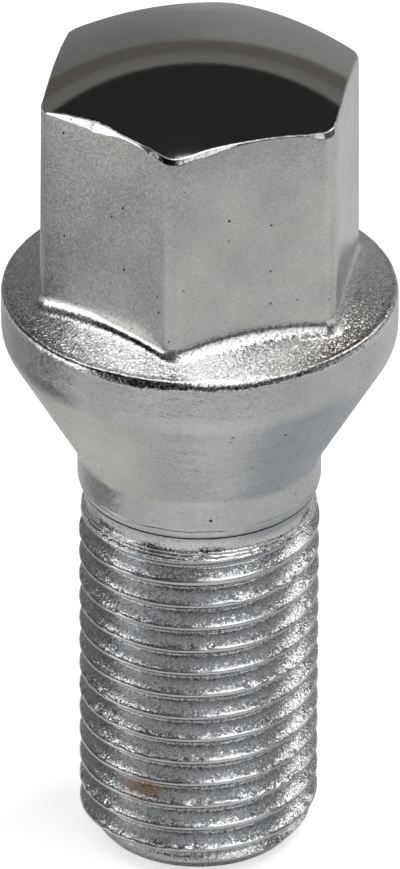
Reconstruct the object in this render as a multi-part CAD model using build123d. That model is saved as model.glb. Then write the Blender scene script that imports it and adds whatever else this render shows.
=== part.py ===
from build123d import *
import math
import os

# Lug bolt, M14 x 1.5 with a 17 mm hexagon and a 60 degree cone seat, in millimetres.
# The axis is Z. The origin is the centre of the flat end of the thread, with the head up.
# Two of the hexagon's flats face +X and -X, and two of its corners point to +Y and -Y.

# Thread: right-handed, with narrow flats on its crests and in its roots
thread_radius = 6.93
root_radius = 6.05
root_flat = 0.2
pitch = 1.5
flank_angle = 30.0
crest_height_at_x = 0.776
thread_end = 20.4
run_out_height = 2.2
run_out_angle = 28.0

# Threaded end
end_radius = 5.64
end_chamfer_height = 1.55

# Neck between the thread and the collar
neck_start = 20.7
neck_radius = 6.55
neck_bottom = 21.85
neck_top = 22.2
collar_radius = 7.0
collar_start = 23.6

# Conical seat and flange
seat_start = 25.27
seat_half_angle = 30.0
flange_radius = 11.32
flange_lower_round = 2.67
flange_upper_round = 0.5
crown_edge_height = 35.6
crown_slope = 0.385

# Hexagon head
across_flats = 17.0
draft_angle = 0.5
hex_corner_round = 1.25
dome_radius = 23.0
total_height = 50.9

# Margins by which a cutting or joining solid reaches past the surface it meets
groove_margin = 0.32
groove_start_angle = 20.0
overlap = 1.0


def rounded(face, radius, height, amount):
    """The same profile with its corner at this radius and height rounded."""
    corner = [v for v in face.vertices() if abs(v.X - radius) < 0.01 and abs(v.Y - height) < 0.01]
    return fillet(corner, amount)


def turned_blank():
    """Everything that is round, turned from one profile of radius and height."""
    seat_end = seat_start + (flange_radius - collar_radius) / math.tan(math.radians(seat_half_angle))
    outline = Polyline(
        (0, 0),
        (end_radius, 0),
        (thread_radius, end_chamfer_height),
        (thread_radius, neck_start),
        (neck_radius, neck_bottom),
        (neck_radius, neck_top),
        (collar_radius, collar_start),
        (collar_radius, seat_start),
        (flange_radius, seat_end),
        (flange_radius, crown_edge_height),
        (0, crown_edge_height + crown_slope * flange_radius),
        close=True,
    )
    profile = make_face(outline)
    profile = rounded(profile, flange_radius, seat_end, flange_lower_round)
    profile = rounded(profile, flange_radius, crown_edge_height, flange_upper_round)
    return revolve(Plane.XZ * profile, Axis.Z)


def groove_section(height, angle):
    """The groove's section at this height, in the half plane through the axis at this angle."""
    mouth = thread_radius + groove_margin
    half_root = root_flat / 2
    half_mouth = half_root + (mouth - root_radius) * math.tan(math.radians(flank_angle))
    across = Vector(1, 0, 0).rotate(Axis.Z, angle)
    half_plane = Plane((0, 0, 0), x_dir=across, z_dir=across.cross(Vector(0, 0, 1)))
    return half_plane * Polygon(
        (root_radius, height - half_root),
        (mouth, height - half_mouth),
        (mouth, height + half_mouth),
        (root_radius, height + half_root),
        align=None,
    )


def thread_groove():
    """The even groove, and the last stretch in which it rises out of the shank."""
    first_root = crest_height_at_x - pitch / 2
    start = first_root - pitch + pitch * groove_start_angle / 360
    turned = groove_start_angle + 360 * (thread_end - start) / pitch
    even_path = Helix(pitch, thread_end - start, root_radius, center=(0, 0, start))
    rising_path = Helix(
        pitch, run_out_height, root_radius, center=(0, 0, thread_end), cone_angle=run_out_angle
    )
    even = sweep(
        groove_section(start, groove_start_angle),
        path=Rot(0, 0, groove_start_angle) * even_path,
        is_frenet=True,
    )
    rising = sweep(
        groove_section(thread_end, turned), path=Rot(0, 0, turned) * rising_path, is_frenet=True
    )
    return even, rising


def hexagon_head():
    """A hexagonal prism with a slight draft and rounded corners, cut off on top by a sphere."""
    foot = crown_edge_height - overlap
    hexagon = RegularPolygon(across_flats / 2, 6, major_radius=False, rotation=30)
    hexagon = fillet(hexagon.vertices(), hex_corner_round)
    prism = extrude(Plane((0, 0, foot)) * hexagon, total_height + overlap - foot, taper=draft_angle)
    dome = Pos(0, 0, total_height - dome_radius) * Rot(0, 90, 0) * Sphere(dome_radius)
    return prism & dome


even_groove, rising_groove = thread_groove()
bolt = turned_blank() - even_groove - rising_groove + hexagon_head()

os.makedirs("parts", exist_ok=True)
export_step(bolt, "parts/lug_bolt.step")
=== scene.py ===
import math

import bpy
import numpy as np
from bpy.props import FloatProperty, FloatVectorProperty, PointerProperty
from mathutils import Matrix, Vector


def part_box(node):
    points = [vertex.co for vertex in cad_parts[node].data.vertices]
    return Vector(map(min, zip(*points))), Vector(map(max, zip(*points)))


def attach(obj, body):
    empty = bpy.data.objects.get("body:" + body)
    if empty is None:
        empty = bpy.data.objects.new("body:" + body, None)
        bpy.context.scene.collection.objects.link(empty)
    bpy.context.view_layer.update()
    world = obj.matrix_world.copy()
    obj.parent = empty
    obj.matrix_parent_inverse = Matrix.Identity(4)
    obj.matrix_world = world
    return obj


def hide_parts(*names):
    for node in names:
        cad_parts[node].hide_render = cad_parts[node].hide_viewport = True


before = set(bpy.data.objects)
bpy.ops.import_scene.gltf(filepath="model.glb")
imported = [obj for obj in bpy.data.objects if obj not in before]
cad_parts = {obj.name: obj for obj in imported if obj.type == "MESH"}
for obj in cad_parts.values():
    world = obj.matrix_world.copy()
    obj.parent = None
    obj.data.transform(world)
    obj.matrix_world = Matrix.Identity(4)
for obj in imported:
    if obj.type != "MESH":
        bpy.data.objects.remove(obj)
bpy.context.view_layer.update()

bl_info = {
    "name": "Lug bolt",
    "version": (1, 0, 0),
    "blender": (4, 5, 0),
    "location": "3D View > Sidebar > Lug bolt",
    "description": "A plated wheel bolt with a domed hexagon head and a conical seat",
    "category": "Object",
}

NODE = "lug_bolt"
NODE_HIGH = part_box(NODE)[1]
MM = 0.001
FULL_TURN = 2 * math.pi
SIXTH, TWELFTH = math.pi / 3, math.pi / 6


def linear(hex_colour):
    """An sRGB hex colour as three linear values."""
    parts = [int(hex_colour[i:i + 2], 16) / 255 for i in (1, 3, 5)]
    return tuple(c / 12.92 if c <= 0.04045 else ((c + 0.055) / 1.055) ** 2.4 for c in parts)


def length(name, description, millimetres):
    """A length that the user can change, stored in metres."""
    return FloatProperty(name=name, description=description, default=millimetres * MM,
                         min=0.0, precision=5, subtype="DISTANCE", unit="LENGTH")


def colour(name, description, hex_colour):
    """A colour that the user can change."""
    return FloatVectorProperty(name=name, description=description, default=linear(hex_colour),
                               min=0.0, max=1.0, size=3, subtype="COLOR")


# Sizes and colours

class LugBoltSizes(bpy.types.PropertyGroup):
    thread_radius: length("Thread radius", "Radius over the thread's crests", 6.93)
    root_radius: length("Root radius", "Radius in the thread's roots", 6.05)
    pitch: length("Pitch", "Rise of the thread in one turn", 1.5)
    crest_round: length("Crest rounding", "How far the crests' edges are rounded", 0.20)
    end_radius: length("End radius", "Radius of the flat end", 5.64)
    collar_radius: length("Collar radius", "Radius of the plain collar under the seat", 7.0)
    neck_radius: length("Neck radius", "Smallest radius between thread and collar", 6.55)
    flange_radius: length("Flange radius", "Radius of the flange's rim", 11.32)
    crown_height: length("Crown height", "Height at which the crown would meet the rim", 35.6)
    across_flats: length("Width across flats", "Hexagon's width at its foot", 17.0)
    corner_round: length("Corner rounding", "Radius of the hexagon's corners", 1.25)
    foot_fillet: length("Foot fillet", "Radius of the hollow at the hexagon's foot", 1.0)
    edge_round: length("Edge rounding", "Radius of the corners beside the facet round the dome", 0.09)
    dome_radius: length("Dome radius", "Radius of the domed top", 23.0)
    height: FloatProperty(name="Height", description="Height of the bolt, as in the frame",
                          default=NODE_HIGH.z, subtype="DISTANCE", unit="LENGTH")


class LugBoltFinish(bpy.types.PropertyGroup):
    dome: colour("Dome", "Bright plate on the smooth dome", "#CBCBC7")
    flats: colour("Flats", "Satin plate on the hexagon", "#C6C6C3")
    crown: colour("Crown", "Plate over the grainy crown of the flange", "#D8D8D8")
    seat: colour("Seat", "Plate over the turned rim, seat and collar", "#CACBCB")
    thread: colour("Thread", "Plate over the rolled thread", "#C8CACC")
    # The pits' dark colour is also the painted shade in the thread's roots, the neck's marks, the foot fillet
    # and along the rim and facet.
    pits: colour("Pits", "Dirt in the small pits", "#2C2B29")
    rust: colour("Rust", "Rust stain on one turn of the thread", "#B39C84")


class LugBoltStage(bpy.types.PropertyGroup):
    azimuth: FloatProperty(name="Camera azimuth", description="Direction of the camera from +X",
                           default=math.radians(-80.7), subtype="ANGLE", unit="ROTATION")
    elevation: FloatProperty(name="Camera elevation", description="Angle of the camera above the floor",
                             default=math.radians(30.44), subtype="ANGLE", unit="ROTATION")
    roll: FloatProperty(name="Camera roll", description="Turn of the camera about its line of sight",
                        default=math.radians(0.177), subtype="ANGLE", unit="ROTATION")
    distance: length("Camera distance", "From the camera to the point that it looks at", 673.5)
    target_height: length("Target height", "Height of the point that the camera looks at", 25.785)
    aside: length("Camera offset", "How far the camera stands to its own right", 0.035)
    lens: FloatProperty(name="Lens", description="Focal length in millimetres on a 36 mm sensor",
                        default=487.12, min=1.0)
    white: colour("Background", "Floor and surroundings", "#FFFFFF")


# Shape of the bolt: heights and lengths in millimetres, from the flat end up

COLUMNS_PER_FLAT = 48
CORNER_COLUMNS = math.radians(4.0)  # how far the closer columns reach to each side of a corner

END_RINGS = ((5.3, 0.0), (5.54, 0.0), (5.60, 0.012), (5.655, 0.04))
CHAMFER_TOP, CHAMFER_ROUND = 1.55, 0.12
CREST_AT_X = 0.776  # height of a crest in the direction of +X
ROOT_HALF_FLAT, ROOT_ROUND = 0.14, 0.16
FLANK_RISE = 1 / math.tan(math.radians(30))
THREAD_END = 20.4  # above this height the groove runs out
RUN_OUT_TAN = math.tan(math.radians(28))
THREAD_LOW, THREAD_HIGH = 0.08, 21.3  # the helical rings lie between these heights
RING_OFFSETS = (0.04, 0.10, 0.15, 0.21, 0.28, 0.60, 0.66)  # from a crest, up and down
LAP_OFFSET, LAP_WIDTH = 0.16, 0.07  # the rolled lap lies on the upper edge of a crest
LAP_OUT, LAP_UP = 0.012, 0.05
LAP_LIMITS = (0.15, 1.3)  # how much weaker and stronger the lap gets along the thread

NECK_START, NECK_BOTTOM = 20.7, 21.85
# The neck's tool marks: radius, height, how far the mark wanders and how much painted shade darkens it.
NECK_MARKS = (
    (6.745, 21.34, 0.01, 0.2), (6.775, 21.39, 0.03, 0.0), (6.69, 21.445, 0.03, 0.1),
    (6.665, 21.50, 0.02, 0.45), (6.72, 21.58, 0.03, 0.0), (6.63, 21.637, 0.03, 0.1),
    (6.60, 21.70, 0.02, 0.45), (6.65, 21.77, 0.02, 0.0), (6.59, 21.812, 0.02, 0.3),
    (6.56, 21.90, 0.01, 0.5), (6.55, 22.02, 0.01, 0.42), (6.55, 22.17, 0.01, 0.3),
    (6.58, 22.34, 0.0, 0.1), (6.66, 22.58, 0.0, 0.0), (6.765, 22.79, 0.0, 0.2),
    (6.735, 22.83, 0.0, 1.0), (6.73, 22.875, 0.0, 1.0), (6.80, 22.92, 0.0, 0.0),
    (6.90, 23.10, 0.0, 0.0), (6.945, 23.28, 0.0, 0.0), (6.975, 23.40, 0.04, 0.1),
    (6.94, 23.435, 0.045, 0.5), (6.945, 23.455, 0.045, 0.5), (7.0, 23.495, 0.045, 0.0),
)
SHINY_MARKS = 13  # the first marks are bright, and the others have the collar's finish
EVEN_LINE = (22.7, 23.0)  # the painted shade is even between these heights, and above them the marks run side by side
COLLAR_LAP_WAVES = (5, 8, 13, 19, 31, 44)  # in a turn

SEAT_START, SEAT_TAN = 25.27, math.tan(math.radians(30))  # where the cone would leave the collar
# The corner between collar and cone: distance outside the collar, height.
SEAT_CORNER = ((0.0, 23.7), (0.0, 24.3), (0.0, 24.93), (0.012, 25.09), (0.045, 25.24),
               (0.095, 25.39), (0.17, 25.56))
SEAT_HEIGHTS = (26.5, 28.0, 29.5, 31.0)
RIM_LOWER_ROUND, RIM_LOWER_RINGS = 2.67, 7

CROWN_SLOPE = 0.385
CROWN_START = 0.85  # inside the rim
CROWN_SHARES = (0.0, 0.25, 0.5, 0.75)
LIP_WIDTH, LIP_RISE, LIP_TOP = 0.12, 0.02, 85
LIP_END, BELOW_BAND = 0.05, 0.12  # how far the last rings on both sides lie beyond the edge
BAND_LEAN = 12
WORN_BETWEEN = (38, 80)  # degrees of the rounding that are cut straight where it is worn
RIM_STEPS = (12, 20, 29, 38, 46, 52, 58, 64, 72, 80, 85)

PRISM_FOOT = 34.6  # height at which the hexagon has its full width
FOOT_GUESS, EDGE_GUESS, GUESS_ROUNDS = 37.5, 48.5, 4  # heights to start from, and how often they improve
FOOT_RINGS, LOW_RINGS, HIGH_RINGS = 9, 5, 6
DRAFT = math.tan(math.radians(0.5))
FACET_TAN = 0.42
CORNER_LIMIT = 1.6  # the rounding beside the facet in widths of the facet, at most
FLATS_ABOVE, FLATS_BELOW = 0.04, 0.3  # gap over the foot, and under the facet in radii of its rounding
FLAT_SHARES = (0.0, 0.03, 0.15, 0.3, 0.45, 0.6, 0.75, 0.88, 0.97, 1.0)
DOME_SHARES = (0.997, 0.98, *np.linspace(0.95, 0.06, 14))
DOME_DEPTH, DOME_NEAR = 3, 0.001  # points this close to the top and to the sphere are on the dome
EASE_ROUNDS = 36  # how often the normals round the hexagon's corners are evened out

# What varies round the bolt, as the sheared edges do: degrees from +X, then millimetres or a share
RIM_ROUND = ((-180, 0.30), (-135, 0.28), (-114, 0.24), (-93, 0.26), (-84, 0.30), (-78, 0.44), (-64, 0.44),
             (-58, 0.20), (-30, 0.24), (0, 0.34), (60, 0.28), (120, 0.36), (180, 0.30))
RIM_BAND = ((-180, 0.16), (-135, 0.16), (-114, 0.18), (-109, 0.32), (-95, 0.32), (-86, 0.20), (-78, 0.18),
            (-60, 0.20), (-30, 0.20), (0, 0.16), (60, 0.20), (120, 0.18), (180, 0.16))
RIM_WORN = ((-180, 0), (-84, 0), (-78, 1), (-64, 1), (-59, 0), (35, 0), (60, 0.7), (75, 0), (180, 0))
# Painted shade on the rim's band and rounded edge: shares of the pits' dark colour round the bolt.
BAND_PAINTED_SHADE = ((-180, 0.20), (-135, 0.15), (-118, 0.20), (-108, 0.62), (-90, 0.60), (-76, 0.50), (-62, 0.55),
             (-40, 0.52), (-15, 0.30), (30, 0.20), (90, 0.40), (180, 0.20))
EDGE_PAINTED_SHADE = ((-180, 0.40), (-135, 0.55), (-118, 0.58), (-108, 0.60), (-90, 0.50), (-76, 0.20), (-62, 0.45),
             (-40, 0.50), (-15, 0.45), (30, 0.30), (90, 0.20), (180, 0.40))
FACET = ((-180, 0.15), (-160, 0.18), (-148, 0.10), (-126, 0.50), (-122, 0.42), (-116, 0.24), (-110, 0.10),
         (-103, 0.10), (-99, 0.30), (-76, 0.28), (-71, 0.20), (-63, 0.08), (-58, 0.05), (-38, 0.05),
         (-35, 0.34), (-29, 0.32), (-24, 0.12), (0, 0.10), (30, 0.20), (64, 0.12), (90, 0.24),
         (127, 0.12), (150, 0.20), (180, 0.15))
# Painted shade on the facet round the dome: shares of the pits' dark colour round the bolt.
FACET_PAINTED_SHADE = ((-180, 0.1), (-104, 0.2), (-99, 0.6), (-93, 0.75), (-88, 0.6), (-84, 0.3), (-70, 0.3),
              (-65, 0.6), (-40, 0.55), (-36, 0.1), (180, 0.1))
FOOT_SHARE = ((-180, 1), (-128, 1), (-116, 0.7), (-96, 0.6), (-89, 0.8), (-75, 1), (180, 1))
# Painted shade in the hollow at the hexagon's foot: shares of the pits' dark colour round the bolt.
FOOT_PAINTED_SHADE = ((-180, 0.35), (-126, 0.35), (-118, 0.60), (-97, 0.62), (-90, 0.35), (180, 0.35))
# Painted shade in the thread's roots: shares of the pits' dark colour round the bolt.
THREAD_PAINTED_SHADE = ((-180, 0.2), (-140, 0.15), (-112, 0.25), (-92, 0.42), (-70, 0.42), (-45, 0.35),
               (-20, 0.2), (60, 0.3), (180, 0.2))
# The grain fades up the foot and is weak on the facet. On the thread it sets in below the crests.
FOOT_GRAIN, FACET_GRAIN = (0.8, 0.3), 0.25
CREST_DEPTH, GRAIN_DEPTH, CREST_GRAIN = 0.02, 0.07, 0.06
# The painted shade in the thread's roots reaches this far over the root radius, and fades out over this
# width.
ROOT_SHADE_ABOVE, ROOT_SHADE_EDGE = 0.16, 0.08

# Wavy lines: seed, fewest and most waves in a turn, how many waves are added up
LAP_LINE, LAP_PATCHES = (11, 9, 60, 12), (12, 0.7, 5, 5)
REACH_LINE, BAND_LINE = (21, 20, 70, 10), (22, 15, 60, 10)
FACET_LINE = (31, 15, 60, 8)
REACH_WAVER, BAND_WAVER, FACET_WAVER = 0.02, 0.03, 0.12
NECK_PATCHES, NECK_LINE = (41, 2, 14, 7), (4, 60, 12)
NECK_SEED = 42


def smooth_low(a, b, width):
    """The lower of two heights, with the corner between them rounded over this width."""
    share = np.clip(0.5 + 0.5 * (b - a) / width, 0, 1)
    return b * (1 - share) + a * share - width * share * (1 - share)


def wavy_line(angle, seed, slowest, quickest, count):
    """A wavy line along an angle, between about -1 and 1, the same for the same seed."""
    draws = np.random.default_rng(seed)
    turns = draws.uniform(slowest, quickest, count)
    phases = draws.uniform(0, FULL_TURN, count)
    return sum(np.sin(t * angle + p) for t, p in zip(turns, phases)) / math.sqrt(count)


def around(angles, table):
    """A value that varies round the bolt, from a table of (degrees from +X, value)."""
    turn = np.degrees((angles + math.pi) % FULL_TURN - math.pi)
    degrees, values = zip(*table)
    return np.interp(turn, degrees, values)


def column_angles():
    """Directions of the columns round the bolt, closer together across the hexagon's corners."""
    in_corner = COLUMNS_PER_FLAT // 4
    flat = np.linspace(-TWELFTH + CORNER_COLUMNS, TWELFTH - CORNER_COLUMNS, COLUMNS_PER_FLAT - in_corner + 1)
    across = np.linspace(-CORNER_COLUMNS, CORNER_COLUMNS, in_corner + 1)[1:-1] + TWELFTH
    one = np.concatenate([flat, across])
    return np.concatenate([one + k * SIXTH for k in range(6)])


def blank_radius(s, z):
    """Radius of the turned blank under the thread, from the chamfered end into the neck."""
    chamfer = s["end_radius"] + (s["thread_radius"] - s["end_radius"]) * z / CHAMFER_TOP
    shank = smooth_low(chamfer, np.full_like(z, s["thread_radius"]), CHAMFER_ROUND)
    fall = (z - NECK_START) / (NECK_BOTTOM - NECK_START)
    neck = s["thread_radius"] + (s["neck_radius"] - s["thread_radius"]) * fall
    return np.minimum(shank, neck)


def thread_radius(s, z, angle):
    """Radius of the threaded length at this height and angle, groove by groove."""
    radius = blank_radius(s, z)
    first = CREST_AT_X - s["pitch"] / 2 + s["pitch"] * angle / FULL_TURN
    nearest = np.round((z - first) / s["pitch"])
    for step in (-1, 0, 1):
        centre = first + s["pitch"] * (nearest + step)
        root = s["root_radius"] + np.maximum(0, centre - THREAD_END) * RUN_OUT_TAN
        flank = root + (np.abs(z - centre) - ROOT_HALF_FLAT) * FLANK_RISE
        groove = -smooth_low(-root, -flank, ROOT_ROUND)
        radius = smooth_low(radius, groove, s["crest_round"])
    return radius


def thread_rings(s, angles):
    """Rings that follow the helix, several for each turn, held between the two ends."""
    offsets = [-o for o in reversed(RING_OFFSETS)] + list(RING_OFFSETS) + [s["pitch"] / 2]
    start = CREST_AT_X + s["pitch"] * angles / FULL_TURN
    first_turn = math.floor((THREAD_LOW - CREST_AT_X) / s["pitch"]) - 2
    last_turn = math.ceil((THREAD_HIGH - CREST_AT_X) / s["pitch"]) + 1
    rings = []
    for turn in range(first_turn, last_turn + 1):
        along = angles + FULL_TURN * turn
        lap = wavy_line(along, *LAP_LINE) * np.clip(wavy_line(along, *LAP_PATCHES) + 0.5, *LAP_LIMITS)
        for offset in offsets:
            z = start + s["pitch"] * turn + offset
            inside = (z > THREAD_LOW) & (z < THREAD_HIGH)
            z = np.clip(z, THREAD_LOW, THREAD_HIGH)
            radius = thread_radius(s, z, angles)
            at_lap = math.exp(-((offset - LAP_OFFSET) / LAP_WIDTH) ** 2) * inside
            rings.append((radius + LAP_OUT * at_lap * lap, z + LAP_UP * at_lap * lap))
    return rings, len(offsets)


def arc_points(centre, radius, start, end, count):
    """Points (radius, height) on an arc in the half plane, angles in degrees from the horizontal."""
    turns = np.radians(np.linspace(start, end, count))
    return [(centre[0] + radius * math.cos(t), centre[1] + radius * math.sin(t)) for t in turns]


def neck_rings(angles):
    """Rings over the neck's tool marks up to the collar, each with its share of painted shade."""
    rings, painted_shade = [], []
    even = np.ones_like(angles)
    lap = sum(np.sin(k * angles + k * k) / math.sqrt(k) for k in COLLAR_LAP_WAVES)
    patchy = np.clip(0.6 + 0.7 * wavy_line(angles, *NECK_PATCHES), 0.1, 1.3)
    for number, (radius, height, wander, shade_share) in enumerate(NECK_MARKS):
        path = lap if height > EVEN_LINE[1] else wavy_line(angles, NECK_SEED + number // 3, *NECK_LINE)
        rings.append((radius * even, height + wander * path))
        painted_shade.append(shade_share * (even if EVEN_LINE[0] <= height <= EVEN_LINE[1] else patchy))
    return rings, painted_shade


def seat_profile(s):
    """The cone and the lower rounding of the flange's rim, as (radius, height) points."""
    seat_end = SEAT_START + (s["flange_radius"] - s["collar_radius"]) / SEAT_TAN
    lower = (s["flange_radius"] - RIM_LOWER_ROUND, seat_end + RIM_LOWER_ROUND * math.tan(math.radians(15)))
    points = [(s["collar_radius"] + out, height) for out, height in SEAT_CORNER]
    for height in (*SEAT_HEIGHTS, lower[1] - RIM_LOWER_ROUND * 0.5 - 0.1):
        points.append((s["collar_radius"] + (height - SEAT_START) * SEAT_TAN, height))
    points += arc_points(lower, RIM_LOWER_ROUND, -30, 0, RIM_LOWER_RINGS)
    return points


def rim_rings(s, angles):
    """Rings over the flange's upper edge: a leaning band and a small lip, worn flat here and there."""
    reach = around(angles, RIM_ROUND) + REACH_WAVER * wavy_line(angles, *REACH_LINE)
    band = around(angles, RIM_BAND) + BAND_WAVER * wavy_line(angles, *BAND_LINE)
    worn = around(angles, RIM_WORN)
    lean, top = math.radians(BAND_LEAN), math.radians(LIP_TOP)
    middle_r = s["flange_radius"] - band * math.tan(lean) - reach * math.cos(lean)
    end_r = middle_r + reach * math.cos(top)
    lip_r = end_r - LIP_WIDTH
    lip_z = s["crown_height"] + CROWN_SLOPE * (s["flange_radius"] - lip_r)
    end_z = lip_z + LIP_RISE - CROWN_SLOPE * LIP_WIDTH
    middle_z = end_z - reach * math.sin(top)
    start_z = middle_z + reach * math.sin(lean)
    even = np.ones_like(angles)
    rim = s["flange_radius"] * even
    rings = [(rim, start_z - band - BELOW_BAND), (rim, start_z - band)]
    rings.append((s["flange_radius"] - band * 0.5 * math.tan(lean), start_z - band * 0.5))
    first, last = [(middle_r + reach * math.cos(e), middle_z + reach * math.sin(e))
                   for e in np.radians(WORN_BETWEEN)]
    for e in RIM_STEPS:
        r = middle_r + reach * math.cos(math.radians(e))
        z = middle_z + reach * math.sin(math.radians(e))
        share = (e - WORN_BETWEEN[0]) / (WORN_BETWEEN[1] - WORN_BETWEEN[0])
        if 0 < share < 1:
            r = r + worn * (first[0] * (1 - share) + last[0] * share - r)
            z = z + worn * (first[1] * (1 - share) + last[1] * share - z)
        rings.append((r, z))
    rings.append(((end_r + lip_r) / 2, (end_z + lip_z) / 2))
    rings += [(lip_r, lip_z), (lip_r - LIP_END, lip_z + CROWN_SLOPE * LIP_END)]
    return rings


def hexagon_radius(half_width, corner, angles):
    """Distance from the axis to a hexagon with rounded corners, flats facing +X and -X."""
    within = (angles + TWELFTH) % SIXTH - TWELFTH
    flat = half_width / np.cos(within)
    middle = (half_width - corner) / math.cos(TWELFTH)
    from_corner = TWELFTH - np.abs(within)
    inside = np.maximum(corner ** 2 - (middle * np.sin(from_corner)) ** 2, 0)
    rounded = middle * np.cos(from_corner) + np.sqrt(inside)
    on_flat = np.abs(half_width * np.tan(within)) <= (half_width - corner) * math.tan(TWELFTH)
    return np.where(on_flat, flat, rounded)


def bend(r, z, radius, start, end, count):
    """Rings that round the corner at (r, z) between surfaces whose normals rise by start and end."""
    scale = radius / (1 + np.cos(end - start))
    middle_r = r - scale * (np.cos(start) + np.cos(end))
    middle_z = z - scale * (np.sin(start) + np.sin(end))
    turns = [start + (end - start) * share for share in np.linspace(0, 1, count)]
    return [(middle_r + radius * np.cos(t), middle_z + radius * np.sin(t)) for t in turns]


def head_rings(s, angles):
    """Rings over the crown, the hexagon's foot, the flats, the facet round the dome and the dome."""
    slope = math.atan(CROWN_SLOPE)
    foot = s["foot_fillet"] * around(angles, FOOT_SHARE)
    facet = around(angles, FACET) * (1 + FACET_WAVER * wavy_line(angles, *FACET_LINE))

    def side(z):
        half_width = s["across_flats"] / 2 - (z - PRISM_FOOT) * DRAFT
        return hexagon_radius(half_width, s["corner_round"], angles)

    def crown(r):
        return s["crown_height"] + CROWN_SLOPE * (s["flange_radius"] - r)

    centre_z = np.full_like(angles, FOOT_GUESS)
    for _ in range(GUESS_ROUNDS):
        centre_r = side(centre_z) + foot
        centre_z = crown(centre_r) + foot / math.cos(slope)
    rim_end = s["flange_radius"] - CROWN_START
    fillet_start = centre_r - foot * math.sin(slope)
    crown_rings = []
    for share in CROWN_SHARES:
        r = rim_end + (fillet_start - rim_end) * share
        crown_rings.append((r, crown(r)))
    turns = -math.pi / 2 - slope - np.linspace(0, math.pi / 2 - slope, FOOT_RINGS)
    fillet_rings = [(centre_r + foot * math.cos(t), centre_z + foot * math.sin(t)) for t in turns]

    dome_centre = s["height"] - s["dome_radius"]
    edge_z = np.full_like(angles, EDGE_GUESS)
    for _ in range(GUESS_ROUNDS):
        edge_r = side(edge_z)
        edge_z = dome_centre + np.sqrt(s["dome_radius"] ** 2 - edge_r ** 2)
    tilt = np.arcsin(edge_r / s["dome_radius"])
    inward = facet * FACET_TAN
    low_r, low_z = edge_r, edge_z + inward * np.tan(tilt) - facet
    high_r, high_z = edge_r - inward, edge_z + inward * np.tan(tilt)
    lean = math.atan(FACET_TAN)
    corner = np.minimum(s["edge_round"], CORNER_LIMIT * facet)
    facet_rings = bend(low_r, low_z, corner, 0, lean, LOW_RINGS)
    facet_rings += bend(high_r, high_z, corner, lean, math.pi / 2 - tilt, HIGH_RINGS)

    low, high = centre_z + FLATS_ABOVE, low_z - corner * FLATS_BELOW
    heights = [low + (high - low) * share for share in FLAT_SHARES]
    flat_rings = [(side(z), z) for z in heights]
    dome_rings = []
    for share in DOME_SHARES:
        r = facet_rings[-1][0] * share
        dome_rings.append((r, dome_centre + np.sqrt(s["dome_radius"] ** 2 - r ** 2)))
    return crown_rings, fillet_rings, flat_rings, facet_rings, dome_rings


def thread_grain(s, radius):
    """How much of the grain shows: nearly none on the smooth crests, all of it on the flanks."""
    return np.clip((s["thread_radius"] - CREST_DEPTH - radius) / GRAIN_DEPTH, CREST_GRAIN, 1)


def grain_and_painted_shade(s, angles, radius, rows, neck_painted_shade):
    """How much of the grain shows and how much painted shade darkens each ring's points.

    rows gives the numbers of each part's rings."""
    grain, painted_shade = np.ones_like(radius), np.zeros_like(radius)
    threaded = slice(0, rows["thread"].stop)
    rim, foot, facet = rows["rim"].start, rows["foot"].start, rows["facet"].start
    grain[threaded] = thread_grain(s, radius[threaded])
    grain[rows["foot"]] = np.linspace(*FOOT_GRAIN, rows["foot"].stop - foot)[:, None]
    grain[rows["facet"]] = FACET_GRAIN
    # Painted shade: darker in the thread's roots, along the neck's marks, on the rim's band and edge, in the
    # foot fillet and on the facet, varying round the bolt.
    in_root = np.clip((s["root_radius"] + ROOT_SHADE_ABOVE - radius[threaded]) / ROOT_SHADE_EDGE, 0, 1)
    painted_shade[threaded] = around(angles, THREAD_PAINTED_SHADE) * in_root
    painted_shade[rows["marks"].start:rows["neck"].stop] = neck_painted_shade
    painted_shade[rim + 1:rim + 4] = around(angles, BAND_PAINTED_SHADE)
    painted_shade[rim + 4:rim + 7] = around(angles, EDGE_PAINTED_SHADE)
    painted_shade[foot + 3:foot + 6] = around(angles, FOOT_PAINTED_SHADE)
    painted_shade[facet:facet + 8] = around(angles, FACET_PAINTED_SHADE)
    return grain, painted_shade


def bolt_mesh(s):
    """The bolt's skin: points, faces, each face's finish, shares of grain and painted shade, and the flats'
    points.
    """
    angles = column_angles()
    even = np.ones_like(angles)

    def turned(profile):
        return [(r * even, z * even) for r, z in profile]

    neck, neck_painted_shade = neck_rings(angles)
    thread, shift = thread_rings(s, angles)
    crown, foot, flats, facet, dome = head_rings(s, angles)
    parts = (
        ("end", "thread", turned(END_RINGS)),
        ("thread", "thread", thread),
        ("marks", "edge", neck[:SHINY_MARKS]),
        ("neck", "seat", neck[SHINY_MARKS:]),
        ("seat", "seat", turned(seat_profile(s))),
        ("rim", "edge", rim_rings(s, angles)),
        ("crown", "crown", crown),
        ("foot", "crown", foot),
        ("flats", "flats", flats),
        ("facet", "edge", facet),
        ("dome", "dome", dome),
    )
    rings, finish, rows = [], [], {}
    for part, look, part_rings in parts:
        rows[part] = slice(len(rings), len(rings) + len(part_rings))
        rings += part_rings
        finish += [look] * len(part_rings)
    radius = np.stack([ring[0] for ring in rings])
    height = np.stack([ring[1] for ring in rings])
    points = np.stack([radius * np.cos(angles), radius * np.sin(angles), height], -1).reshape(-1, 3)
    points = np.concatenate([points, [[0, 0, 0], [0, 0, s["height"]]]])
    grain, painted_shade = grain_and_painted_shade(s, angles, radius, rows, neck_painted_shade)
    shares = {"grain": np.append(grain, [1, 1]), "painted_shade": np.append(painted_shade, [0, 0])}
    on_flats = np.arange(rows["flats"].start + 1, rows["flats"].stop - 1)[:, None]
    flat_points = on_flats * len(angles) + np.arange(len(angles))
    faces, below = joined_rings(height, rows["thread"], shift)
    return points, faces, [finish[min(n, len(finish) - 1)] for n in below], shares, flat_points


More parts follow.
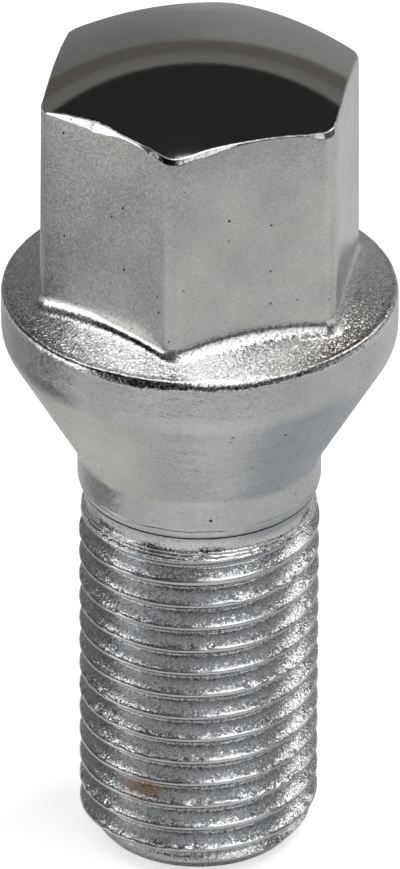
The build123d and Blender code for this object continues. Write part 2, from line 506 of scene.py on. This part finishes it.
def joined_rings(height, helical, shift):
    """Faces between neighbouring rings and at both ends, and the number of the ring below each.

    The helical rings climb one pitch in a turn, so at the last column each one meets the ring
    that lies one turn further on. Where they are held at an end they share one point."""
    ring_count, count = height.shape
    index = np.arange(ring_count * count).reshape(ring_count, count)
    z = height[helical]
    index[helical] = np.where(z <= THREAD_LOW, index[helical.start], index[helical])
    index[helical] = np.where(z >= THREAD_HIGH, index[helical.stop - 1], index[helical])
    faces, below = [], []
    for ring in range(ring_count - 1):
        in_helix = helical.start <= ring < helical.stop - 1
        for i in range(count):
            j = (i + 1) % count
            step = shift if j == 0 and in_helix else 0
            if step and ring + 1 + step > helical.stop - 1:
                continue
            corners = [index[ring][i], index[ring + step][j], index[ring + 1 + step][j], index[ring + 1][i]]
            corners = list(dict.fromkeys(int(c) for c in corners))
            if len(corners) > 2:
                faces.append(corners)
                below.append(ring)
    bottom, top = ring_count * count, ring_count * count + 1
    for i in range(count):
        j = (i + 1) % count
        faces.append([bottom, int(index[0][j]), int(index[0][i])])
        below.append(0)
        faces.append([int(index[-1][i]), int(index[-1][j]), top])
        below.append(ring_count)
    return faces, below


def surface_normals(points, faces, s, flats):
    """Normals weighted by the faces' areas, exact on the dome and eased round the hexagon's corners.

    The flats are given as a grid of point numbers, ring by ring."""
    normals = np.zeros_like(points)
    for face in faces:
        p = points[face]
        area = np.cross(p[1] - p[0], p[2] - p[0])
        if len(face) == 4:
            area = area + np.cross(p[2] - p[0], p[3] - p[0])
        normals[face] += area
    from_centre = points - [0, 0, s["height"] - s["dome_radius"]]
    on_dome = np.abs(np.linalg.norm(from_centre, axis=1) - s["dome_radius"]) < DOME_NEAR
    on_dome &= points[:, 2] > s["height"] - DOME_DEPTH
    normals[on_dome] = from_centre[on_dome]
    size = np.linalg.norm(normals, axis=1, keepdims=True)
    normals = normals / np.maximum(size, 1e-12)
    eased = normals[flats]
    for _ in range(EASE_ROUNDS):
        eased = eased * 0.5 + (np.roll(eased, 1, axis=1) + np.roll(eased, -1, axis=1)) * 0.25
    normals[flats] = eased / np.linalg.norm(eased, axis=2, keepdims=True)
    return normals


# Materials: pattern sizes and depths in millimetres

PATCH_SIZE, FLECK_SIZE, BLOT_SIZE, MARK_SIZE = 3, 0.16, 0.5, 4
PIT_EDGE, PIT_DEPTH = 0.08, 0.04
RUST_PLACE = (-2.45 * MM, -6.02 * MM, 5.57 * MM)
RUST_STRETCH = (1 / (1.75 * MM), 1 / (1.75 * MM), 1 / (0.8 * MM))
RUST_COVER = 0.68
MIX_LOW, MIX_HIGH, MIX_RESULT = 6, 7, 2  # a Mix node's colour sockets, which share their names with others


def add(tree, kind, inputs=None, **settings):
    """Adds a node, sets it up, and sets or links its inputs."""
    made = tree.nodes.new(kind)
    for name, value in settings.items():
        setattr(made, name, value)
    for key, value in (inputs or {}).items():
        if isinstance(value, bpy.types.NodeSocket):
            tree.links.new(value, made.inputs[key])
        else:
            made.inputs[key].default_value = value
    return made


def new_material(name):
    """A material with an empty node tree, and that tree."""
    material = bpy.data.materials.new(name)
    material.use_nodes = True
    material.node_tree.nodes.clear()
    return material, material.node_tree


def repeats(millimetres):
    """How often a pattern of this size repeats in a metre."""
    return 1 / (millimetres * MM)


def plated_steel(name, look):
    """Electroplated steel. The plate copies the steel under it, so each part of the bolt has
    nearly the same metal colour and its own roughness, grain and pits."""
    material, tree = new_material(name)
    place = add(tree, "ShaderNodeTexCoord").outputs["Object"]
    # Broad patches of slightly thicker and thinner plate, with a fine mottle on them.
    patches = add(tree, "ShaderNodeTexNoise", {
        "Vector": place, "Scale": repeats(PATCH_SIZE), "Detail": 2.0})
    mottle = add(tree, "ShaderNodeTexNoise", {
        "Vector": place, "Scale": repeats(look["mottle"]), "Detail": 3.0})
    both = add(tree, "ShaderNodeMath", {
        0: patches.outputs["Fac"], 1: mottle.outputs["Fac"]}, operation="ADD")
    tone = add(tree, "ShaderNodeMapRange", {
        "Value": both.outputs[0], "From Min": 0.7, "From Max": 1.3})
    low = [c * (1 - look["tone"]) for c in look["colour"]]
    high = [min(1.0, c * (1 + look["tone"])) for c in look["colour"]]
    base = add(tree, "ShaderNodeMix", {
        "Factor": tone.outputs[0], MIX_LOW: (*low, 1), MIX_HIGH: (*high, 1)}, data_type="RGBA")
    # Pits: some cells of a coarse pattern hold one small dark hole each.
    cells = add(tree, "ShaderNodeTexVoronoi", {
        "Vector": place, "Scale": repeats(look["pit_spacing"])})
    chance = add(tree, "ShaderNodeSeparateColor", {"Color": cells.outputs["Color"]})
    size = add(tree, "ShaderNodeMapRange", {
        "Value": chance.outputs[0], "From Min": 1 - look["pit_share"], "From Max": 1.0,
        "To Min": 0.0, "To Max": look["pit_size"] / look["pit_spacing"]})
    inside = add(tree, "ShaderNodeMath", {
        0: size.outputs[0], 1: cells.outputs["Distance"]}, operation="SUBTRACT")
    pit = add(tree, "ShaderNodeMapRange", {
        "Value": inside.outputs[0], "From Min": 0.0, "From Max": PIT_EDGE})
    base = add(tree, "ShaderNodeMix", {
        "Factor": pit.outputs[0], MIX_LOW: base.outputs[MIX_RESULT], MIX_HIGH: (*look["pits"], 1)},
        data_type="RGBA")
    # Painted shade: the pits' dark colour is laid over the thread's roots, the neck's marks, the rim's band
    # and edge, the foot fillet and the facet, as much as the mesh's share says, and breaks up into flecks
    # where it is thin.
    flecks = add(tree, "ShaderNodeTexNoise", {
        "Vector": place, "Scale": repeats(FLECK_SIZE), "Detail": 3.0})
    painted_shade = add(tree, "ShaderNodeAttribute", attribute_name="painted_shade")
    painted_shade = add(tree, "ShaderNodeMath", {
        0: painted_shade.outputs["Fac"], 1: flecks.outputs["Fac"]}, operation="ADD")
    painted_shade = add(tree, "ShaderNodeMapRange", {
        "Value": painted_shade.outputs[0], "From Min": 0.80, "From Max": 1.20})
    base = add(tree, "ShaderNodeMix", {
        "Factor": painted_shade.outputs[0], MIX_LOW: base.outputs[MIX_RESULT], MIX_HIGH: (*look["pits"], 1)},
        data_type="RGBA")
    if "rust" in look:
        spot = add(tree, "ShaderNodeVectorMath", {0: place, 1: RUST_PLACE}, operation="SUBTRACT")
        spot = add(tree, "ShaderNodeVectorMath", {
            0: spot.outputs[0], 1: RUST_STRETCH}, operation="MULTIPLY")
        away = add(tree, "ShaderNodeVectorMath", {0: spot.outputs[0]}, operation="LENGTH")
        blot = add(tree, "ShaderNodeTexNoise", {
            "Vector": place, "Scale": repeats(BLOT_SIZE), "Detail": 3.0})
        edge = add(tree, "ShaderNodeMath", {
            0: away.outputs["Value"], 1: blot.outputs["Fac"]}, operation="ADD")
        stain = add(tree, "ShaderNodeMapRange", {
            "Value": edge.outputs[0], "From Min": 1.0, "From Max": 1.7,
            "To Min": RUST_COVER, "To Max": 0.0})
        base = add(tree, "ShaderNodeMix", {
            "Factor": stain.outputs[0], MIX_LOW: base.outputs[MIX_RESULT],
            MIX_HIGH: (*look["rust"], 1)}, data_type="RGBA")
    # Grain: the blasted or rolled steel's roughness, which sparkles through the thin plate. It is
    # drawn coarser than it is, so that it shows.
    grain = add(tree, "ShaderNodeTexNoise", {
        "Vector": place, "Scale": repeats(look["grain"]), "Detail": 2.0, "Roughness": 0.6})
    rough = add(tree, "ShaderNodeMapRange", {
        "Value": mottle.outputs["Fac"], "From Min": 0.3, "From Max": 0.7,
        "To Min": look["rough"][0], "To Max": look["rough"][1]})
    share = add(tree, "ShaderNodeAttribute", attribute_name="grain").outputs["Fac"]
    raised = add(tree, "ShaderNodeMath", {0: grain.outputs["Fac"], 1: share}, operation="MULTIPLY")
    relief = add(tree, "ShaderNodeBump", {
        "Height": raised.outputs[0], "Strength": 1.0, "Distance": look["grain_depth"] * MM})
    # Each small face of the grain leans its own way, so that single faces catch the light.
    faces = add(tree, "ShaderNodeTexVoronoi", {"Vector": place, "Scale": repeats(look["face"])})
    aside = add(tree, "ShaderNodeVectorMath", {
        0: place, 1: faces.outputs["Position"]}, operation="SUBTRACT")
    lean = add(tree, "ShaderNodeVectorMath", {
        0: faces.outputs["Color"], 1: (0.5, 0.5, 0.5)}, operation="SUBTRACT")
    ramp = add(tree, "ShaderNodeVectorMath", {
        0: aside.outputs[0], 1: lean.outputs[0]}, operation="DOT_PRODUCT")
    ramp = add(tree, "ShaderNodeMath", {0: ramp.outputs["Value"], 1: share}, operation="MULTIPLY")
    relief = add(tree, "ShaderNodeBump", {
        "Height": ramp.outputs[0], "Strength": 1.0, "Distance": look["lean"],
        "Normal": relief.outputs[0]})
    if "turned" in look:
        stretched = add(tree, "ShaderNodeVectorMath", {
            0: place, 1: (1, 1, look["turned"])}, operation="MULTIPLY")
        marks = add(tree, "ShaderNodeTexNoise", {
            "Vector": stretched.outputs[0], "Scale": repeats(MARK_SIZE), "Detail": 4.0})
        relief = add(tree, "ShaderNodeBump", {
            "Height": marks.outputs["Fac"], "Strength": 1.0, "Distance": look["turned_depth"] * MM,
            "Normal": relief.outputs[0]})
    holes = add(tree, "ShaderNodeBump", {
        "Height": pit.outputs[0], "Strength": 1.0, "Distance": PIT_DEPTH * MM,
        "Normal": relief.outputs[0]}, invert=True)
    shader = add(tree, "ShaderNodeBsdfPrincipled", {
        "Base Color": base.outputs[MIX_RESULT], "Metallic": 1.0, "Roughness": rough.outputs[0],
        "Normal": holes.outputs[0]})
    add(tree, "ShaderNodeOutputMaterial", {"Surface": shader.outputs[0]})
    return material


def bolt_looks(finish):
    """What each part of the bolt's surface is like: the material's name, colours, shares between
    0 and 1, roughness, and sizes in millimetres.

    tone and rough are how far colour and roughness vary, grain is the relief of the steel, face
    and lean are the small faces' size and how far they lean, and turned squeezes the tool marks
    into lines that run round the bolt."""
    pits = tuple(finish.pits)
    return {
        # Rolled: the dies leave the crests smooth and press a coarse sparkling grain into the flanks.
        "thread": ("zinc_plate_over_rolled_thread", {
            "colour": tuple(finish.thread), "tone": 0.06, "mottle": 0.25, "rough": (0.20, 0.30),
            "grain": 0.20, "grain_depth": 0.014, "face": 0.085, "lean": 0.24,
            "pits": pits, "pit_spacing": 0.9, "pit_share": 0.3, "pit_size": 0.09,
            "rust": tuple(finish.rust)}),
        # Turned and lightly worn: satin, with fine marks that run round the axis.
        "seat": ("zinc_plate_over_turned_seat", {
            "colour": tuple(finish.seat), "tone": 0.11, "mottle": 0.25, "rough": (0.26, 0.38),
            "grain": 0.16, "grain_depth": 0.018, "face": 0.11, "lean": 0.13,
            "pits": pits, "pit_spacing": 0.9, "pit_share": 0.6, "pit_size": 0.13,
            "turned": 9.0, "turned_depth": 0.024}),
        # Forged and blasted: the scale's grain stays under the plate and glitters.
        "crown": ("zinc_plate_over_blasted_flange", {
            "colour": tuple(finish.crown), "tone": 0.06, "mottle": 0.25, "rough": (0.16, 0.30),
            "grain": 0.20, "grain_depth": 0.035, "face": 0.10, "lean": 0.22,
            "pits": pits, "pit_spacing": 0.8, "pit_share": 0.2, "pit_size": 0.08}),
        # Sheared and rubbed bright: small irregular faces that catch the light.
        "edge": ("zinc_plate_over_sheared_edges", {
            "colour": tuple(finish.crown), "tone": 0.04, "mottle": 0.25, "rough": (0.10, 0.22),
            "grain": 0.15, "grain_depth": 0.03, "face": 0.12, "lean": 0.18,
            "pits": pits, "pit_spacing": 0.7, "pit_share": 0.35, "pit_size": 0.09}),
        # Trimmed by the die: even satin flats with scattered pits.
        "flats": ("zinc_plate_over_forged_flats", {
            "colour": tuple(finish.flats), "tone": 0.15, "mottle": 0.15, "rough": (0.16, 0.26),
            "grain": 0.16, "grain_depth": 0.003, "face": 0.10, "lean": 0.05,
            "pits": pits, "pit_spacing": 0.75, "pit_share": 0.7, "pit_size": 0.11}),
        # Coined smooth: the plate on it is as bright as a mirror.
        "dome": ("bright_plate_over_coined_dome", {
            "colour": tuple(finish.dome), "tone": 0.02, "mottle": 0.5, "rough": (0.05, 0.08),
            "grain": 0.5, "grain_depth": 0.001, "face": 0.5, "lean": 0.0,
            "pits": pits, "pit_spacing": 2.5, "pit_share": 0.3, "pit_size": 0.05}),
    }


class LUGBOLT_OT_bolt(bpy.types.Operator):
    """Builds the whole bolt: end, thread, collar, seat, flange, hexagon and dome"""
    bl_idname = "lugbolt.bolt"
    bl_label = "Build the bolt"

    def execute(self, context):
        sizes = context.scene.lug_bolt_sizes
        s = {name: getattr(sizes, name) / MM for name in LugBoltSizes.__annotations__}
        points, faces, names, shares, flats = bolt_mesh(s)
        normals = surface_normals(points, faces, s, flats)
        used = np.unique(np.concatenate([np.array(f) for f in faces]))
        place = np.full(len(points), -1)
        place[used] = np.arange(len(used))
        mesh = bpy.data.meshes.new("lug_bolt_skin")
        mesh.from_pydata((points[used] * MM).tolist(), [], [[int(place[v]) for v in f] for f in faces])
        looks = bolt_looks(context.scene.lug_bolt_finish)
        for material_name, look in looks.values():
            mesh.materials.append(plated_steel(material_name, look))
        order = list(looks)
        for polygon, name in zip(mesh.polygons, names):
            polygon.material_index = order.index(name)
            polygon.use_smooth = True
        if mesh.validate(verbose=False):
            raise RuntimeError("the bolt's mesh has faces that had to be repaired")
        mesh.normals_split_custom_set_from_vertices(normals[used].tolist())
        for name, share in shares.items():
            layer = mesh.attributes.new(name, "FLOAT", "POINT")
            layer.data.foreach_set("value", share[used].astype(np.float32))
        bolt = bpy.data.objects.new("lug_bolt_body", mesh)
        context.scene.collection.objects.link(bolt)
        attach(bolt, "root")
        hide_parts(NODE)
        return {"FINISHED"}


# Stage: directions are given as degrees round from the camera, to its right, and degrees up

# The painted room: height of the eye that sees its directions, radius and gap over the floor in
# millimetres, then its lowest ring, its last ring on the floor and its steps in degrees.
ROOM_EYE, ROOM_RADIUS, ROOM_LIFT = 35, 1200, 0.3
ROOM_LOWEST, ROOM_HORIZON, ROOM_STEP_UP, ROOM_STEP_ASIDE = -75, -0.5, 1.5, 2.0
NEUTRAL, WARM, CREAM, COOL = (1, 1, 1), (1, 0.93, 0.80), (1, 0.96, 0.92), (0.94, 1, 1.05)
# Every patch is painted light and shade that only the metal sees: the floor and paper patches paint the
# shadows and lit parts of floor and backdrop, and the boxes paint glowing soft boxes.
# name, degrees aside, degrees up, softness of the edges aside and up,
# levels at the low start, low end, high start and high end, tint. A level of 1 is white.
STUDIO_ROOM = (
    ("dark_room", (-180, 180), (-1.6, 99), (1, 1), (0.055, 0.055, 0.055, 0.055), NEUTRAL),
    ("floor_near_right", (50, 182), (-80, -40), (30, 12), (0.40, 0.40, 0.44, 0.44), COOL),
    ("floor_near_left", (180, 250), (-80, -42), (20, 8), (0.68, 0.70, 0.68, 0.70), CREAM),
    ("floor_left", (-135, -55), (-55, -31), (14, 8), (0.36, 0.34, 0.40, 0.34), NEUTRAL),
    ("floor_left_far", (-165, -42), (-34, -14), (36, 6), (0.26, 0.12, 0.42, 0.62), NEUTRAL),
    ("floor_left_near", (-84, -36), (-62, -26), (5, 5), (0.62, 0.62, 0.62, 0.62), NEUTRAL),
    ("floor_foot_left", (-125, -35), (-80, -49), (16, 6), (0.76, 0.58, 0.76, 0.58), CREAM),
    ("floor_left_dark", (-107, -80), (-44, -24), (5, 5), (0.02, 0.02, 0.02, 0.02), NEUTRAL),
    ("floor_corner", (-46, -4), (-62, -18), (10, 6), (0.72, 0.72, 0.72, 0.72), NEUTRAL),
    ("floor_right_far", (80, 132), (-50, -22), (14, 8), (0.56, 0.56, 0.56, 0.56), NEUTRAL),
    ("floor_right", (20, 75), (-50, -16), (12, 10), (0.64, 0.64, 0.70, 0.70), NEUTRAL),
    ("floor_behind", (115, 215), (-40, -12), (12, 6), (0.70, 0.66, 0.66, 0.45), NEUTRAL),
    ("floor_front", (-45, 26), (-18, 1), (5, 3), (0.05, 0.05, 0.05, 0.05), NEUTRAL),
    ("floor_front_right", (20, 62), (-17, 1), (5, 3), (0.05, 0.05, 0.05, 0.05), NEUTRAL),
    ("paper_left", (180, 232), (-14, 24), (6, 4), (0.25, 0.20, 0.20, 0.16), NEUTRAL),
    ("paper_right", (142, 182), (-14, 24), (10, 4), (0.40, 0.32, 0.33, 0.26), NEUTRAL),
    ("paper_edge", (122, 144), (-14, 12), (8, 14), (0.60, 0.50, 0.20, 0.30), NEUTRAL),
    ("paper_fold", (128, 232), (24, 30), (6, 2), (0.15, 0.12, 0.15, 0.12), WARM),
    ("paper_top", (128, 232), (30, 36.8), (6, 1.5), (0.19, 0.16, 0.22, 0.19), CREAM),
    ("ceiling_back", (135, 225), (36.8, 76), (6, 1.5), (0.026, 0.026, 0.026, 0.026), NEUTRAL),
    ("wall_front", (-6, 12), (3, 52), (8, 6), (0.30, 0.40, 0.30, 0.40), NEUTRAL),
    ("box_right_front", (8, 62), (8, 72), (5, 8), (1.0, 1.0, 3.4, 3.4), NEUTRAL),
    ("box_right_back", (97, 125), (10, 40), (5, 6), (1.5, 1.5, 1.5, 1.5), CREAM),
    ("box_right_high", (112, 131), (36, 60), (6, 6), (3.8, 3.8, 3.8, 3.8), CREAM),
    ("box_left_high", (-127, -92), (47, 72), (5, 5), (3.1, 3.1, 3.1, 3.1), NEUTRAL),
    ("box_left_low", (-92, -63), (-15, 12), (5, 4), (2.2, 2.2, 2.2, 2.2), NEUTRAL),
    ("box_above", (-180, 180), (76, 99), (1, 2), (2.6, 2.6, 2.6, 2.6), NEUTRAL),
)
# name, degrees aside, degrees up, width, depth in metres, level, tint
STUDIO_LIGHTS = (
    ("soft_box_above", 48, 74, 0.20, 0.20, 4.5, (1, 1, 1)),
    ("soft_box_left", -106, 44, 0.22, 0.22, 1.8, (1, 0.98, 0.95)),
    ("soft_box_right", 122, 48, 0.12, 0.22, 4.5, (0.96, 0.98, 1)),
)
LIGHT_DISTANCE, LIGHT_AIM = 0.45, 0.03  # metres from the point they face, and its height
WORLD_LIGHT = 0.4  # share of the white surroundings' brightness that lights the scene
FLOOR_REACH = 1.5  # metres to each side
FLOOR_SEEN, FLOOR_MIRRORED, PAPER = 0.58, 0.10, 0.8  # its own glow to the camera and in metal, its grey
SENSOR_WIDTH = 36
CLIP_NEAR, CLIP_FAR = 0.01, 20


def stage_direction(stage, aside, up):
    """The direction that lies this far to the camera's right and this far up."""
    turn = stage.azimuth + math.radians(aside)
    rise = math.radians(up)
    return Vector((math.cos(turn) * math.cos(rise), math.sin(turn) * math.cos(rise), math.sin(rise)))


def soft_step(inside, softness):
    """0 outside an edge and 1 inside it, with a soft change across it."""
    share = np.clip(0.5 + inside / softness, 0, 1)
    return share * share * (3 - 2 * share)


def painted(aside, up):
    """Colour and cover of the room in each direction, its patches laid on one after another."""
    colour = np.zeros((*aside.shape, 3))
    cover = np.zeros_like(aside)
    for _, (start, end), (low, high), (soft_aside, soft_up), levels, tint in STUDIO_ROOM:
        half = (end - start) / 2
        across = (aside - start - half + 180) % 360 - 180
        here = soft_step(up - low, soft_up) * soft_step(high - up, soft_up)
        if half < 180:
            here = here * soft_step(across + half, soft_aside) * soft_step(half - across, soft_aside)
        right = np.clip(across / (2 * half) + 0.5, 0, 1)
        top = np.clip((up - low) / (high - low), 0, 1)
        level = (levels[0] * (1 - right) + levels[1] * right) * (1 - top)
        level = level + (levels[2] * (1 - right) + levels[3] * right) * top
        shown = level[..., None] * np.array(tint)
        total = here + cover * (1 - here)
        share = np.divide(here, total, out=np.zeros_like(here), where=total > 0)[..., None]
        colour = colour * (1 - share) + shown * share
        cover = total
    return colour, cover


def studio_room(context):
    """The room as the plate shows it: a painted shell from the floor round the bolt to the ceiling.

    Directions are those seen from the bolt's axis at the flange's height. Below the horizon the shell
    lies on the floor."""
    stage = context.scene.lug_bolt_stage
    eye, far = ROOM_EYE * MM, ROOM_RADIUS * MM
    degrees_up = np.concatenate([np.arange(ROOM_LOWEST, -ROOM_STEP_UP, ROOM_STEP_UP), [ROOM_HORIZON],
                                 np.arange(0, 90 + ROOM_STEP_UP, ROOM_STEP_UP)])
    degrees_aside = np.arange(0, 360, ROOM_STEP_ASIDE)
    up, aside = np.meshgrid(degrees_up, degrees_aside, indexing="ij")
    colour, cover = painted(aside, up)
    rise, turn = np.radians(up), stage.azimuth + np.radians(aside)
    on_floor = up < 0
    down = np.tan(np.radians(np.where(on_floor, -up, 90)))
    away = np.where(on_floor, np.minimum(eye / down, far), far * np.cos(rise))
    height = np.where(on_floor, ROOM_LIFT * MM, eye + far * np.sin(rise))
    points = np.stack([away * np.cos(turn), away * np.sin(turn), height], -1).reshape(-1, 3)
    rows, columns = aside.shape
    faces = []
    for row in range(rows - 1):
        for column in range(columns):
            after = (column + 1) % columns
            faces.append((row * columns + column, row * columns + after,
                          (row + 1) * columns + after, (row + 1) * columns + column))
    mesh = bpy.data.meshes.new("studio_room")
    mesh.from_pydata(points.tolist(), [], faces)
    glow = np.concatenate([colour, cover[..., None]], -1).astype(np.float32)
    mesh.attributes.new("glow", "FLOAT_COLOR", "POINT").data.foreach_set("color", glow.reshape(-1))
    # Painted light: it shows its colour at full strength, and nothing where no patch covers it.
    material, tree = new_material("studio_light_and_shade")
    paint = add(tree, "ShaderNodeAttribute", attribute_name="glow").outputs
    lit = add(tree, "ShaderNodeEmission", {"Color": paint["Color"], "Strength": 1.0})
    clear = add(tree, "ShaderNodeBsdfTransparent")
    both = add(tree, "ShaderNodeMixShader", {0: paint["Alpha"], 1: clear.outputs[0], 2: lit.outputs[0]})
    add(tree, "ShaderNodeOutputMaterial", {"Surface": both.outputs[0]})
    material.cycles.emission_sampling = "NONE"
    mesh.materials.append(material)
    room = bpy.data.objects.new("studio_room", mesh)
    context.scene.collection.objects.link(room)
    room.visible_camera = room.visible_diffuse = room.visible_shadow = room.visible_transmission = False


def studio_light(context, name, aside, up, width, depth, level, tint):
    """A soft box that faces the bolt. The level is its own brightness, where 1 is white."""
    data = bpy.data.lights.new(name, "AREA")
    data.shape = "RECTANGLE"
    data.size, data.size_y = width, depth
    data.energy = level * math.pi * width * depth
    data.color = tint
    light = bpy.data.objects.new(name, data)
    towards = stage_direction(context.scene.lug_bolt_stage, aside, up)
    light.location = Vector((0, 0, LIGHT_AIM)) + towards * LIGHT_DISTANCE
    light.rotation_euler = towards.to_track_quat("Z", "Y").to_euler()
    light.visible_camera = light.visible_glossy = False
    context.scene.collection.objects.link(light)


def white_world(context, white):
    """White surroundings, as bright as the background where they are seen and dimmer as light."""
    world = bpy.data.worlds.new("white_studio")
    context.scene.world = world
    world.use_nodes = True
    tree = world.node_tree
    tree.nodes.clear()
    path = add(tree, "ShaderNodeLightPath").outputs
    seen = add(tree, "ShaderNodeMath", {
        0: path["Is Camera Ray"], 1: path["Is Glossy Ray"]}, operation="MAXIMUM")
    seen = add(tree, "ShaderNodeMath", {
        0: seen.outputs[0], 1: path["Is Transmission Ray"]}, operation="MAXIMUM")
    level = add(tree, "ShaderNodeMapRange", {
        "Value": seen.outputs[0], "To Min": WORLD_LIGHT, "To Max": 1.0})
    sky = add(tree, "ShaderNodeBackground", {"Color": white, "Strength": level.outputs[0]})
    add(tree, "ShaderNodeOutputWorld", {"Surface": sky.outputs[0]})


def paper_floor(context, white):
    """The white floor, which can be looked through from below."""
    mesh = bpy.data.meshes.new("studio_floor")
    corners = [(-1, -1), (1, -1), (1, 1), (-1, 1)]
    mesh.from_pydata([(x * FLOOR_REACH, y * FLOOR_REACH, 0) for x, y in corners], [], [(0, 1, 2, 3)])
    # Matt white paper. Its own glow lifts it to white for the camera, and the metal sees little of it.
    material, tree = new_material("white_paper")
    path = add(tree, "ShaderNodeLightPath").outputs
    seen = add(tree, "ShaderNodeMath", {
        0: path["Is Camera Ray"], 1: path["Is Transmission Ray"]}, operation="MAXIMUM")
    level = add(tree, "ShaderNodeMath", {
        0: path["Is Glossy Ray"], 1: FLOOR_MIRRORED}, operation="MULTIPLY")
    level = add(tree, "ShaderNodeMath", {
        0: seen.outputs[0], 1: FLOOR_SEEN, 2: level.outputs[0]}, operation="MULTIPLY_ADD")
    glow = add(tree, "ShaderNodeEmission", {"Color": white, "Strength": level.outputs[0]})
    paper = add(tree, "ShaderNodeBsdfDiffuse", {"Color": (PAPER, PAPER, PAPER, 1)})
    sheet = add(tree, "ShaderNodeAddShader", {0: glow.outputs[0], 1: paper.outputs[0]})
    back = add(tree, "ShaderNodeNewGeometry").outputs["Backfacing"]
    clear = add(tree, "ShaderNodeBsdfTransparent")
    mixed = add(tree, "ShaderNodeMixShader", {0: back, 1: sheet.outputs[0], 2: clear.outputs[0]})
    add(tree, "ShaderNodeOutputMaterial", {"Surface": mixed.outputs[0]})
    mesh.materials.append(material)
    floor = bpy.data.objects.new("studio_floor", mesh)
    context.scene.collection.objects.link(floor)


def stage_camera(context):
    """The camera, where it stood for the photograph."""
    stage = context.scene.lug_bolt_stage
    data = bpy.data.cameras.new("camera")
    data.sensor_fit = "AUTO"
    data.sensor_width = SENSOR_WIDTH
    data.lens = stage.lens
    data.clip_start, data.clip_end = CLIP_NEAR, CLIP_FAR
    camera = bpy.data.objects.new("camera", data)
    back = stage_direction(stage, 0, math.degrees(stage.elevation))
    level_right = stage_direction(stage, 90, 0)
    level_up = back.cross(level_right)
    c, r = math.cos(stage.roll), math.sin(stage.roll)
    right, up = level_right * c + level_up * r, level_up * c - level_right * r
    spot = Vector((0, 0, stage.target_height)) + level_right * stage.aside
    spot += back * stage.distance
    camera.matrix_world = Matrix((
        (right.x, up.x, back.x, spot.x),
        (right.y, up.y, back.y, spot.y),
        (right.z, up.z, back.z, spot.z),
        (0, 0, 0, 1)))
    context.scene.collection.objects.link(camera)
    context.scene.camera = camera


class LUGBOLT_OT_stage(bpy.types.Operator):
    """Sets up the white surroundings and floor, the painted room, the lights and the camera"""
    bl_idname = "lugbolt.stage"
    bl_label = "Set up the stage"

    def execute(self, context):
        context.scene.view_settings.view_transform = "Standard"
        white = (*context.scene.lug_bolt_stage.white, 1)
        white_world(context, white)
        paper_floor(context, white)
        studio_room(context)
        for light in STUDIO_LIGHTS:
            studio_light(context, *light)
        stage_camera(context)
        return {"FINISHED"}


class LUGBOLT_PT_panel(bpy.types.Panel):
    """Lists the bolt's sizes, colours and steps"""
    bl_label = "Lug bolt"
    bl_idname = "LUGBOLT_PT_panel"
    bl_space_type = "VIEW_3D"
    bl_region_type = "UI"
    bl_category = "Lug bolt"

    def draw(self, context):
        for group, kind in ((context.scene.lug_bolt_sizes, LugBoltSizes),
                            (context.scene.lug_bolt_finish, LugBoltFinish),
                            (context.scene.lug_bolt_stage, LugBoltStage)):
            box = self.layout.box()
            for name in kind.__annotations__:
                box.prop(group, name)
        for operator in (LUGBOLT_OT_bolt, LUGBOLT_OT_stage):
            self.layout.operator(operator.bl_idname)


CLASSES = (LugBoltSizes, LugBoltFinish, LugBoltStage, LUGBOLT_OT_bolt, LUGBOLT_OT_stage, LUGBOLT_PT_panel)


def register():
    for kind in CLASSES:
        bpy.utils.register_class(kind)
    bpy.types.Scene.lug_bolt_sizes = PointerProperty(type=LugBoltSizes)
    bpy.types.Scene.lug_bolt_finish = PointerProperty(type=LugBoltFinish)
    bpy.types.Scene.lug_bolt_stage = PointerProperty(type=LugBoltStage)


def unregister():
    del bpy.types.Scene.lug_bolt_stage
    del bpy.types.Scene.lug_bolt_finish
    del bpy.types.Scene.lug_bolt_sizes
    for kind in reversed(CLASSES):
        bpy.utils.unregister_class(kind)


def main():
    register()
    bpy.ops.lugbolt.bolt()
    bpy.ops.lugbolt.stage()


if __name__ == "__main__":
    main()
